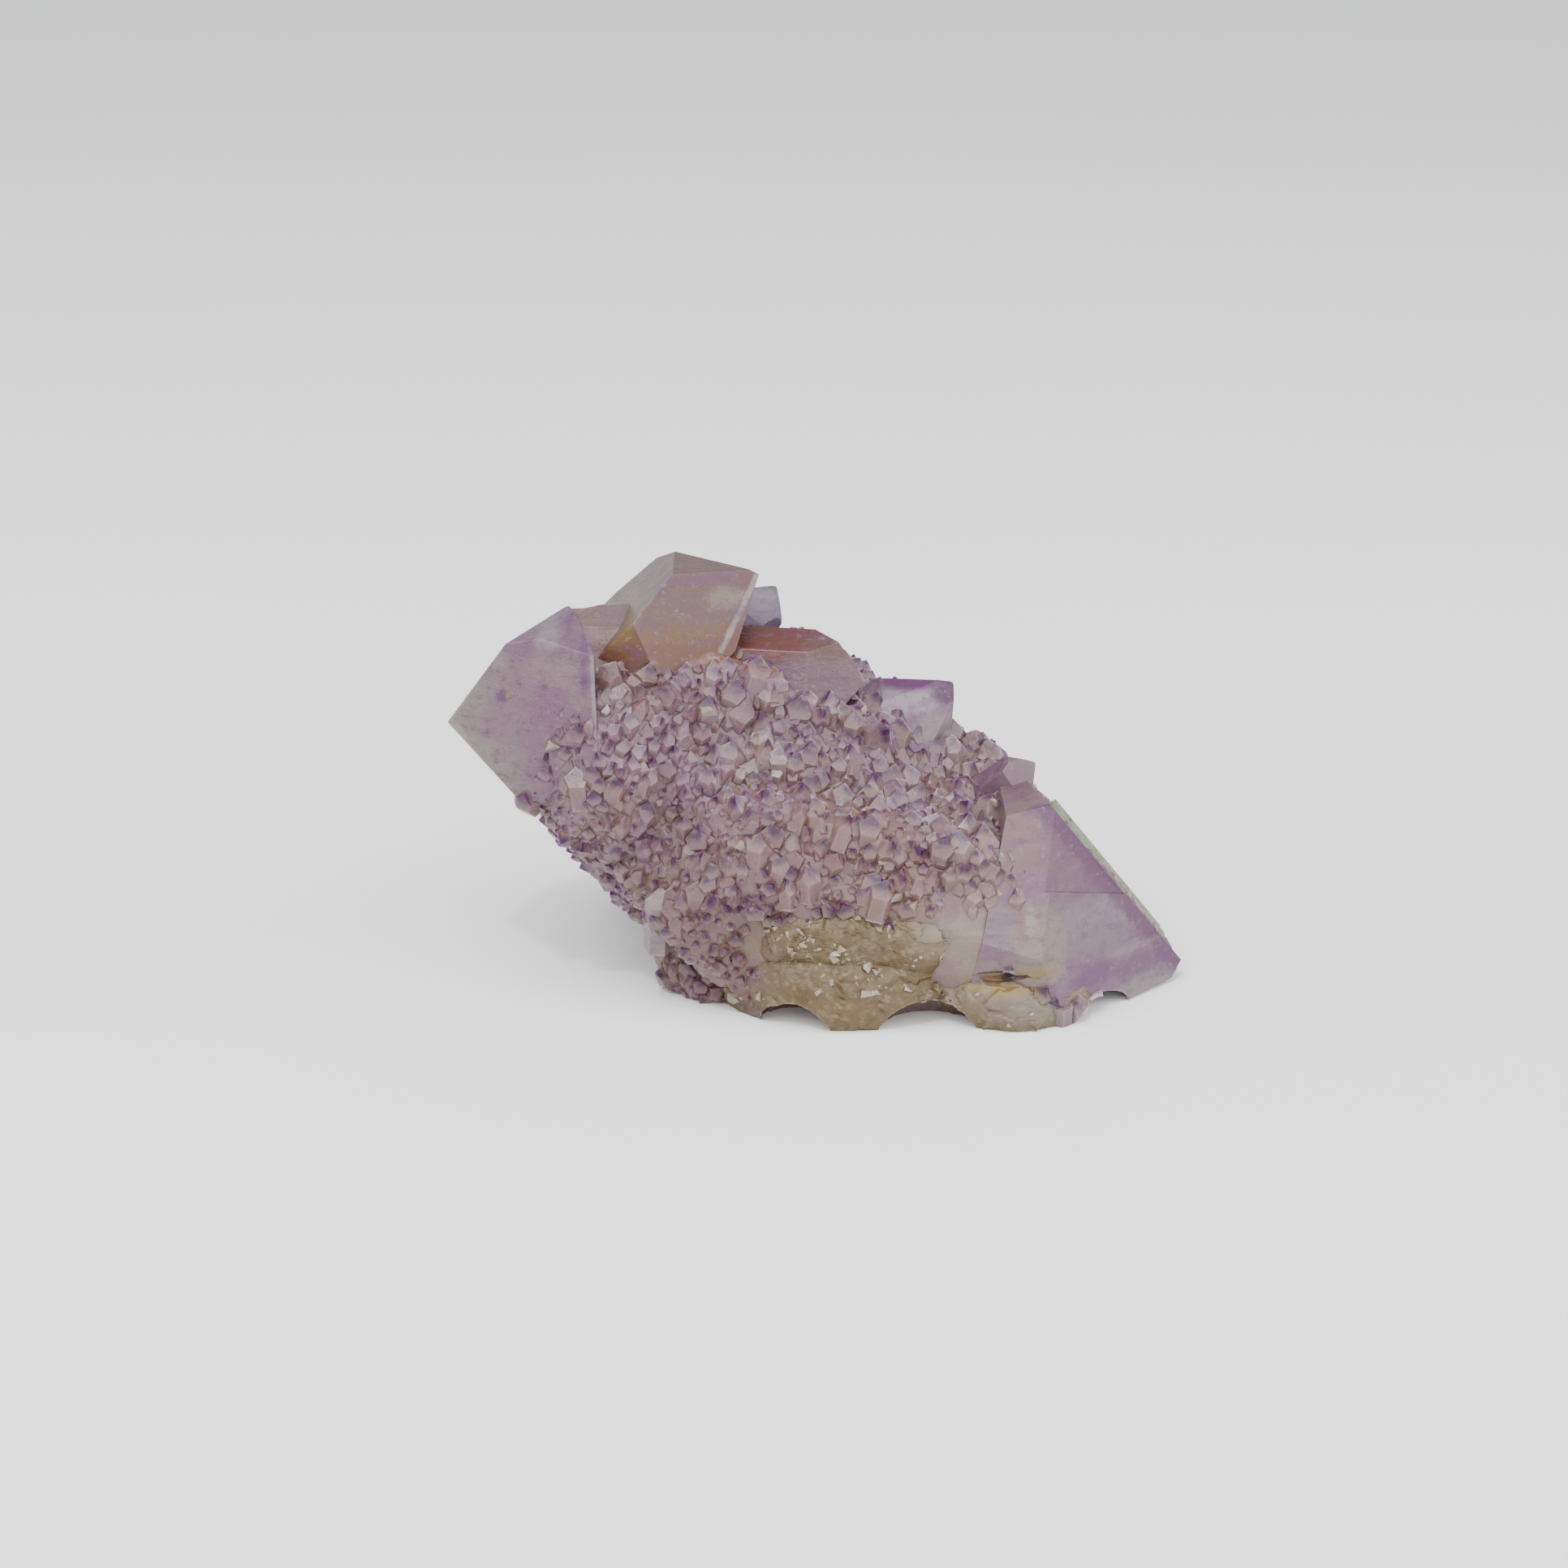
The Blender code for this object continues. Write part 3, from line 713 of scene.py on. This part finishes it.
foot_meshes = [joined(foot_lumps, "broken_foot"), mesh_of(below_ground(), "below")]
foot_meshes += [mesh_of(chipped(*facts), hollow) for hollow, facts in HOLLOWS.items()]
broken_foot = linked(bpy.data.objects.new("broken_foot", joined(foot_meshes, "broken_foot", "DIFFERENCE")))
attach(broken_foot, "root")
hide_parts("spirit_quartz_cluster")

# The crust: the carpet of small second-growth points that gives spirit quartz its name.
# They are six-sided quartz points a few millimetres long, packed side by side on the candles, pale and
# milky in the body and deep purple at the tip, and they lean up and the way that the candles grew.
MIDDLE = dict(
    tip=(-29.2, -8.4, 19.2), points=(-0.95, -0.25, 0.12), radius=11.2, looks=FRONT, faces=SIX_FACED,
    trims=(((-5.6, 0.0, 34.4), UPPER_SLOPE),), length=50.0,
)
UPPER = dict(
    tip=(25.8, 3.0, 12.4), points=(0.910, 0.06, -0.410), radius=8.9, looks=(0.0, -0.6, 0.8),
    faces=SIX_FACED, length=42.0,
)
BACK =dict(SMALL["back_candle_point"][0], length=50.0)
BACK_POINT = dict(SMALL["back_point"][0], length=26.0)
MIDDLES = {
    "root": ((-2.0, 4.0, 14.0), (22.0, 14.0, 12.0)),
    "waist": ((-10.0, -4.2, 24.0), (19.0, 9.4, 6.5)),
    "left_waist": ((-22.0, -7.6, 23.8), (8.4, 8.8, 7.8)),
    "left_foot": ((-8.4, -7.0, 3.8), (9.2, 7.8, 6.8)),
    "right_foot": ((20.0, -10.8, 2.5), (9.2, 8.6, 6.6)),
    "foot_back": ((4.0, -8.8, 3.0), (14.0, 11.0, 8.8)),
}
CORE_GRAIN = 0.8
UNEVEN = 0.4
FRONT_HALF = ((0.0, 9.0, 0.0), (0.0, 1.0, 0.0))
BARE = (
    # stretches with no small points, each bounded by planes: a place on one and which way out it looks
    (((-29.2, 0.0, 29.5), (0.90, 0.0, -0.44)), ((-22.8, 0.0, 0.0), (1.0, 0.0, 0.0)), FRONT_HALF),
    (((-26.6, 0.0, 34.3), (0.46, 0.0, -0.89)), ((-22.8, 0.0, 0.0), (1.0, 0.0, 0.0)), FRONT_HALF),
    (((-7.0, 0.0, 0.0), (1.0, 0.0, 0.0)), ((0.0, 0.0, 37.2), (0.0, 0.0, -1.0)), FRONT_HALF),
    (((22.0, 0.0, 0.0), (-1.0, 0.0, 0.0)), ((24.6, 0.0, 5.2), (-0.49, 0.0, -0.87)), FRONT_HALF),
    (
        ((-6.8, 0.0, 0.0), (-1.0, 0.0, 0.0)), ((13.0, 0.0, 0.0), (1.0, 0.0, 0.0)),
        ((-8.7, 0.0, 11.1), (-0.06, 0.0, 1.0)), ((0.0, -8.0, 0.0), (0.0, 1.0, 0.0)),
    ),
    (
        ((5.2, 0.0, 12.0), (-0.15, 0.0, 0.99)), ((22.5, 0.0, 0.0), (1.0, 0.0, 0.0)),
        ((0.0, 0.0, 3.2), (0.0, 0.0, -1.0)), ((0.0, -8.0, 0.0), (0.0, 1.0, 0.0)),
        ((5.2, 0.0, 0.0), (-1.0, 0.0, 0.0)),
    ),
)
BURIED = 1.8  # nothing grows where another crystal covers the core by more than this
EDGE_FADE = 2.0  # how wide the stretch is over which the points thin out
EDGE_WAVER = (2.8, 1.4)
FINE, COARSE = 0.78, 1.08  # how big the points grow low on the left, and high on the right
HABITS = 10
HABIT_SEED = 3
POINT_HEIGHT = 1.1  # of a point's faces, for one with a radius of a millimetre
POINT_GAP = 1.2
POINT_SIZE = (0.6, 1.85)
POINT_LEAN = 0.34
POINT_BIAS = (0.20, 0.0, 1.0)
POINT_SEED = 7
SHOULDER = (-0.55, 0.15)  # how far a point's prism stands out of the core, for one a millimetre in radius
TIP_COLOUR = (70, 34, 72)
CRUST_SHEEN = 0.94  # its many small facets throw back the sky too

for stalk in (MIDDLE, UPPER, BACK):
    stalks.append(quartz(ends=2, **stalk))
stalks.append(quartz(**BACK_POINT))
stalks += [lump(*facts, 3) for facts in MIDDLES.values()]
core_mesh = joined([mesh_of(stalk, "stalk", scale=1.0) for stalk in stalks], "core")
core = linked(bpy.data.objects.new("core", core_mesh))
even = core.modifiers.new("even", "REMESH")
even.mode = "VOXEL"
even.voxel_size = CORE_GRAIN
core_mesh = bpy.data.meshes.new_from_object(core.evaluated_get(bpy.context.evaluated_depsgraph_get()))
bpy.data.objects.remove(core)

planes = []
for smooth in smooth_ends:
    bmesh.ops.recalc_face_normals(smooth, faces=smooth.faces)
    planes.append([(face.verts[0].co.copy(), face.normal.copy()) for face in smooth.faces])
    smooth.free()


bare_planes = [[(Vector(at), Vector(normal)) for at, normal in sides] for sides in BARE]


def depth_inside(place, bodies):
    """How far inside any of the bodies a place lies, or how far outside all of them, as a negative depth."""
    return max(min((at - place).dot(normal) for at, normal in sides) for sides in bodies)


def cover(place):
    """How thickly the points grow at a place on the core, from none at 0 to packed at 1."""
    bare = max(depth_inside(place, bare_planes), depth_inside(place, planes) - BURIED)
    bare += EDGE_WAVER[1] * noise.noise(place / EDGE_WAVER[0])
    return 1.0 - min(1.0, max(0.0, bare / EDGE_FADE + 0.5))


def growth(place):
    """How big the points grow at a place: finest low on the left and underneath, coarsest on the upper right."""
    along = max(0.0, min(1.0, (place.x * 0.6 + place.z) / 34.0))
    return FINE + (COARSE - FINE) * along + 0.2 * noise.noise(place / 6.0)


covered = [cover(v.co) for v in core_mesh.vertices]
sized = [growth(v.co) * (0.55 + 0.45 * share) for v, share in zip(core_mesh.vertices, covered)]
for vertex, normal in zip(core_mesh.vertices, [v.normal.copy() for v in core_mesh.vertices]):
    vertex.co += normal * UNEVEN * (noise.fractal(vertex.co * 0.22, 1.0, 2.0, 2) - 0.3)
for attribute_name, numbers in (("cover", covered), ("growth", sized)):
    core_mesh.attributes.new(attribute_name, "FLOAT", "POINT").data.foreach_set("value", numbers)

CRUST_MARKS = (
    # seen colour, strength, middle, half sizes
    ((147, 126, 134), 0.7, (-20.0, -14.0, 31.0), (12.0, 12.0, 4.5)),
    ((146, 124, 121), 0.7, (0.0, -17.0, 19.0), (12.0, 10.0, 6.0)),
    ((152, 130, 122), 0.6, (10.0, -18.0, 15.0), (5.0, 8.0, 4.0)),
    ((158, 142, 138), 0.8, (18.5, -17.0, 18.0), (4.5, 10.0, 8.0)),
    ((128, 108, 102), 0.7, (-12.0, -14.0, 8.0), (8.0, 10.0, 8.0)),
    # painted shade: the cavity between the left point, the top crystal and the crust, darkened
    ((124, 102, 98), 0.8, (-19.5, -10.0, 37.6), (4.6, 8.0, 3.6)),
    ((134, 96, 58), 0.95, (-5.4, -2.0, 38.6), (5.4, 10.0, 2.6)),
    ((146, 112, 78), 0.7, (-14.0, -8.0, 38.4), (8.0, 8.0, 1.2)),
    ((140, 116, 108), 0.7, (2.0, 0.0, 37.0), (4.0, 8.0, 2.0)),
    ((146, 134, 108), 0.8, (3.0, -18.0, 9.0), (10.0, 8.0, 2.6)),
    ((168, 158, 146), 0.8, (18.0, -17.0, 9.5), (5.5, 8.0, 4.2)),
    ((158, 148, 142), 0.8, (22.0, -16.0, 2.6), (8.0, 8.0, 3.0)),
    ((166, 134, 90), 0.6, (21.5, -18.0, 5.0), (5.0, 6.0, 1.6)),
    # painted shade: the dark band low on the front, where the stone turns under
    ((110, 86, 78), 0.7, (-7.0, -15.0, 1.4), (4.0, 6.0, 1.6)),
)
crust_finish = Finish("crust_amethyst", ior=1.54)
crust_finish.milky(2.2, share=0.95)
tip_share = crust_finish.add("ShaderNodeAttribute", {"attribute_name": "tip"}, out=2)
tone_cloud = crust_finish.ramp(crust_finish.cloud(5.0, 5.0, 0.65), 0.38, 0.62)
crust_tone = crust_finish.paint(colour(144, 126, 121), colour(150, 130, 140), tone_cloud)
crust_tone = crust_finish.zones(crust_tone, CRUST_MARKS)
pale_points = crust_finish.ramp(crust_finish.cells(1.5), 0.7, 1.0)
crust_tone = crust_finish.paint(crust_tone, colour(164, 148, 150), pale_points * 0.3)
tip_cloud = crust_finish.ramp(crust_finish.cloud(2.6, 4.0, 0.7, shift=3.0), 0.38, 0.54)
tip_depth = crust_finish.ramp(tip_share, 0.15, 0.70)
crust_tone = crust_finish.paint(crust_tone, colour(*TIP_COLOUR), tip_depth * (0.2 + 0.8 * tip_cloud))
sockets = {0: crust_tone, "Scale": CRUST_SHEEN}
crust_finish.show("Base Color", crust_finish.add("ShaderNodeVectorMath", {"operation": "SCALE"}, sockets))
crust_finish.show("Roughness", 0.16 + 0.3 * crust_finish.cells(0.9))
crust_finish.bump(crust_finish.cloud(0.6, 4.0, 0.65), 0.07)

habits = bpy.data.collections.new("habits")
for k in range(HABITS):
    chance = random.Random(HABIT_SEED + k)
    sides = [(60 * s + chance.uniform(-4, 4), chance.uniform(0.0, 0.55) * (s % 2)) for s in range(SIDES)]
    shoulder = chance.uniform(*SHOULDER)
    habit = bmesh.new()
    bmesh.ops.create_cone(
        habit, cap_ends=True, segments=SIDES, radius1=1.0, radius2=1.0, depth=3.4,
        matrix=Matrix.Translation((0.0, 0.0, -1.1)),
    )
    for round_degrees, back in sides:
        normal = face_normal(round_degrees, FACE_TILT)
        cut_away(habit, normal * back, normal)
    habit.transform(Matrix.Translation((0.0, 0.0, POINT_HEIGHT + shoulder)))
    habit_mesh = mesh_of(habit, f"habit_{k}", crust_finish, scale=1.0)
    height = habit_mesh.attributes.new("tip", "FLOAT", "POINT")
    for v, datum in zip(habit_mesh.vertices, height.data):
        datum.value = max(0.0, (v.co.z - shoulder) / POINT_HEIGHT)
    habits.objects.link(bpy.data.objects.new(f"habit_{k}", habit_mesh))


def scatter_tree(name, fused):
    """The tree that scatters small shapes over a stone, each turned and sized by chance, and fused if asked."""
    grow = Nodes(bpy.data.node_groups.new(name, "GeometryNodeTree"))
    kinds = {
        "Stone": "Geometry", "Shapes": "Collection", "Gap": "Float", "Smallest": "Float", "Largest": "Float",
        "Lean": "Float", "Bias": "Vector", "Seed": "Int", "Finish": "Material",
    }
    for input_name, kind in kinds.items():
        grow.tree.interface.new_socket(name=input_name, in_out="INPUT", socket_type=f"NodeSocket{kind}")
    grow.tree.interface.new_socket(name="Grown", in_out="OUTPUT", socket_type="NodeSocketGeometry")
    entry = grow.tree.nodes.new("NodeGroupInput")
    given = {socket.name: Value(grow, socket) for socket in entry.outputs if socket.name}
    density = grow.add("GeometryNodeInputNamedAttribute", {"data_type": "FLOAT"}, {"Name": "cover"})
    local_size = grow.add("GeometryNodeInputNamedAttribute", {"data_type": "FLOAT"}, {"Name": "growth"})
    scattered = grow.add(
        "GeometryNodeDistributePointsOnFaces", {"distribute_method": "POISSON"},
        {
            "Mesh": given["Stone"], "Distance Min": given["Gap"], "Density Max": 3.0,
            "Density Factor": density, "Seed": given["Seed"],
        },
    )
    upright = Value(grow, scattered.socket.node.outputs["Normal"])
    least = grow.add("ShaderNodeCombineXYZ", None, {k: given["Lean"] * -1.0 for k in range(3)})
    most = grow.add("ShaderNodeCombineXYZ", None, {k: given["Lean"] for k in range(3)})
    lean = grow.add("FunctionNodeRandomValue", {"data_type": "FLOAT_VECTOR"}, {0: least, 1: most, "Seed": 11})
    off = grow.add("ShaderNodeVectorMath", {"operation": "PROJECT"}, {0: given["Bias"], 1: upright})
    along = grow.add("ShaderNodeVectorMath", {"operation": "SUBTRACT"}, {0: given["Bias"], 1: off})
    leaned = grow.add("ShaderNodeVectorMath", {"operation": "ADD"}, {0: upright, 1: lean})
    leaned = grow.add("ShaderNodeVectorMath", {"operation": "ADD"}, {0: leaned, 1: along})
    stood = grow.add("FunctionNodeAlignRotationToVector", {"axis": "Z"}, {"Vector": leaned})
    sockets = {2: 0.0, 3: math.tau, "Seed": 21}
    spin = grow.add("FunctionNodeRandomValue", {"data_type": "FLOAT"}, sockets, out=1)
    spun = grow.add("FunctionNodeAxisAngleToRotation", None, {"Axis": (0.0, 0.0, 1.0), "Angle": spin})
    sockets = {"Rotation": stood, "Rotate By": spun}
    turned = grow.add("FunctionNodeRotateRotation", {"rotation_space": "LOCAL"}, sockets)
    sockets = {2: 0.0, 3: 1.0, "Seed": 31}
    luck = grow.add("FunctionNodeRandomValue", {"data_type": "FLOAT"}, sockets, out=1)
    size = given["Smallest"] + (given["Largest"] - given["Smallest"]) * luck ** 1.7
    sockets = {"Collection": given["Shapes"], "Separate Children": True, "Reset Children": True}
    picked = grow.add("GeometryNodeCollectionInfo", None, sockets)
    points = grow.add(
        "GeometryNodeInstanceOnPoints", None,
        {
            "Points": scattered, "Instance": picked, "Pick Instance": True, "Rotation": turned,
            "Scale": size * local_size,
        },
    )
    if fused:
        union = grow.tree.nodes.new("GeometryNodeMeshBoolean")
        union.operation = "UNION"
        union.solver = "MANIFOLD"
        grow.tree.links.new(given["Stone"].socket, union.inputs[1])
        grow.tree.links.new(points.socket, union.inputs[1])
        points = Value(grow, union.outputs[0])
    real = grow.add("GeometryNodeRealizeInstances", None, {0: points})
    finished = grow.add("GeometryNodeSetMaterial", None, {"Geometry": real, "Material": given["Finish"]})
    grow.fill(grow.tree.nodes.new("NodeGroupOutput").inputs[0], finished)
    return grow.tree


def grown(mesh, tree, inputs, name):
    """What the tree makes of the mesh, as a plain mesh."""
    carrier = bpy.data.objects.new(name, mesh)
    growing = carrier.modifiers.new("growth", "NODES")
    growing.node_group = tree
    for item in tree.interface.items_tree:
        if item.name in inputs:
            growing[item.identifier] = inputs[item.name]
    linked(carrier)
    graph = bpy.context.evaluated_depsgraph_get()
    made = bpy.data.meshes.new_from_object(carrier.evaluated_get(graph))
    bpy.data.objects.remove(carrier)
    made.name = name
    return made


crust_inputs = {
    "Shapes": habits, "Gap": POINT_GAP, "Smallest": POINT_SIZE[0], "Largest": POINT_SIZE[1],
    "Lean": POINT_LEAN, "Bias": POINT_BIAS, "Seed": POINT_SEED, "Finish": crust_finish.material,
}
crust_mesh = grown(core_mesh, scatter_tree("small_points", True), crust_inputs, "crust")
hollow_meshes = [mesh_of(lump(*facts), hollow, scale=1.0) for hollow, facts in HOLLOWS.items()]
crust_mesh = joined([crust_mesh, mesh_of(below_ground(), "below", scale=1.0), *hollow_meshes], "crust", "DIFFERENCE")
crust_mesh.transform(Matrix.Scale(MM, 4))
crust = linked(bpy.data.objects.new("crust", crust_mesh))
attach(crust, "root")
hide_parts("spirit_quartz_cluster")

# The flakes: small white chips of quartz that cling to the broken foot and sparkle on the crust.
# They came loose as the cluster broke from the rock, and lie in patches, flat on what they cling to.
SHARDS = 6
SHARD_CORNERS = 9
FLAKE_PATCHES = (
    # middle, reach, how thickly they lie
    ((-5.4, -19.5, 11.5), 1.4, 2.0), ((-1.9, -20.3, 10.3), 2.8, 2.0), ((2.8, -20.8, 8.9), 1.6, 2.0),
    ((7.7, -20.6, 12.4), 2.2, 2.0), ((0.9, -21.4, 5.5), 1.0, 2.0), ((6.6, -21.2, 6.4), 2.6, 1.2),
    ((10.3, -20.9, 8.1), 1.2, 2.0), ((14.5, -20.6, 8.4), 3.0, 0.7), ((14.0, -20.6, 12.5), 3.0, 0.5),
)
SPARKLES = (
    # single glassy chips on the crust: how far right of and above the middle they are seen, and their size
    (-25.5, 4.6, 1.4), (-27.8, -0.1, 0.8), (6.0, -0.2, 1.3), (-8.6, 8.5, 0.9), (23.6, -0.2, 1.0),
    (23.5, -2.0, 1.0), (23.9, -7.6, 0.8), (23.6, -12.2, 0.9), (12.4, -12.7, 1.9), (6.7, 10.2, 0.9),
    (10.9, -8.5, 1.1), (7.8, -9.1, 0.8), (-4.8, -6.9, 0.8), (8.7, 8.2, 0.7), (14.2, -13.2, 1.0),
)
flake_finish = Finish("white_flakes", ior=1.54)
flake_finish.milky(0.8)
flake_tone = flake_finish.paint(colour(184, 178, 168), colour(158, 148, 132), flake_finish.cells(1.2))
flake_finish.show("Base Color", flake_tone)
flake_finish.show("Roughness", 0.15 + 0.3 * flake_finish.cells(0.8))
shards = bpy.data.collections.new("shards")
for k in range(SHARDS):
    chance = random.Random(40 + k)
    shard = bmesh.new()
    for _ in range(SHARD_CORNERS):
        corner = Vector([chance.uniform(-1.0, 1.0) for _ in range(3)])
        shard.verts.new((corner.x, corner.y * 0.75, corner.z * 0.35 + 0.1))
    hull = bmesh.ops.convex_hull(shard, input=shard.verts)
    bmesh.ops.delete(shard, geom=[v for v in hull["geom_interior"] if isinstance(v, bmesh.types.BMVert)], context="VERTS")
    shards.objects.link(bpy.data.objects.new(f"shard_{k}", mesh_of(shard, f"shard_{k}", flake_finish, scale=1.0)))
bed = broken_foot.data.copy()
bed.transform(Matrix.Scale(1 / MM, 4))
lie = []
for v in bed.vertices:
    front = 1.0 if v.co.z > 1.0 else 0.0
    lie.append(front * max([0.03] + [t * max(0.0, 1 - (v.co - Vector(m)).length / r) for m, r, t in FLAKE_PATCHES]))
bed.attributes.new("cover", "FLOAT", "POINT").data.foreach_set("value", lie)
bed.attributes.new("growth", "FLOAT", "POINT").data.foreach_set("value", [1.0] * len(bed.vertices))
flake_inputs = {
    "Shapes": shards, "Gap": 0.5, "Smallest": 0.2, "Largest": 0.95, "Lean": 0.3, "Bias": (0.0, 0.0, 0.2),
    "Seed": 5, "Finish": flake_finish.material,
}
flake_mesh = grown(bed, scatter_tree("loose_flakes", False), flake_inputs, "white_flakes")
caught = bmesh.new()
caught.from_mesh(flake_mesh)
crust_tree = BVHTree.FromPolygons(
    [v.co for v in crust.data.vertices], [tuple(face.vertices) for face in crust.data.polygons]
)
chance = random.Random(8)
upward = Vector((0.0, math.sin(EYE_HEIGHT), math.cos(EYE_HEIGHT)))
for across, height, size in SPARKLES:
    toward = LOOK_AT + (Vector((across, 0.0, 0.0)) + upward * height) * MM - camera.location
    hit, facing, _, _ = crust_tree.ray_cast(camera.location, toward)
    turn = Matrix.Rotation(chance.uniform(0.0, math.tau), 4, facing)
    chip = chance.choice(list(shards.objects)).data.copy()
    stand = facing.to_track_quat("Z", "Y").to_matrix().to_4x4()
    chip.transform(Matrix.Translation(hit / MM) @ turn @ stand @ Matrix.Scale(size, 4))
    caught.from_mesh(chip)
caught.to_mesh(flake_mesh)
caught.free()
flake_mesh.transform(Matrix.Scale(MM, 4))
flakes = linked(bpy.data.objects.new("white_flakes", flake_mesh))
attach(flakes, "root")
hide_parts("spirit_quartz_cluster")
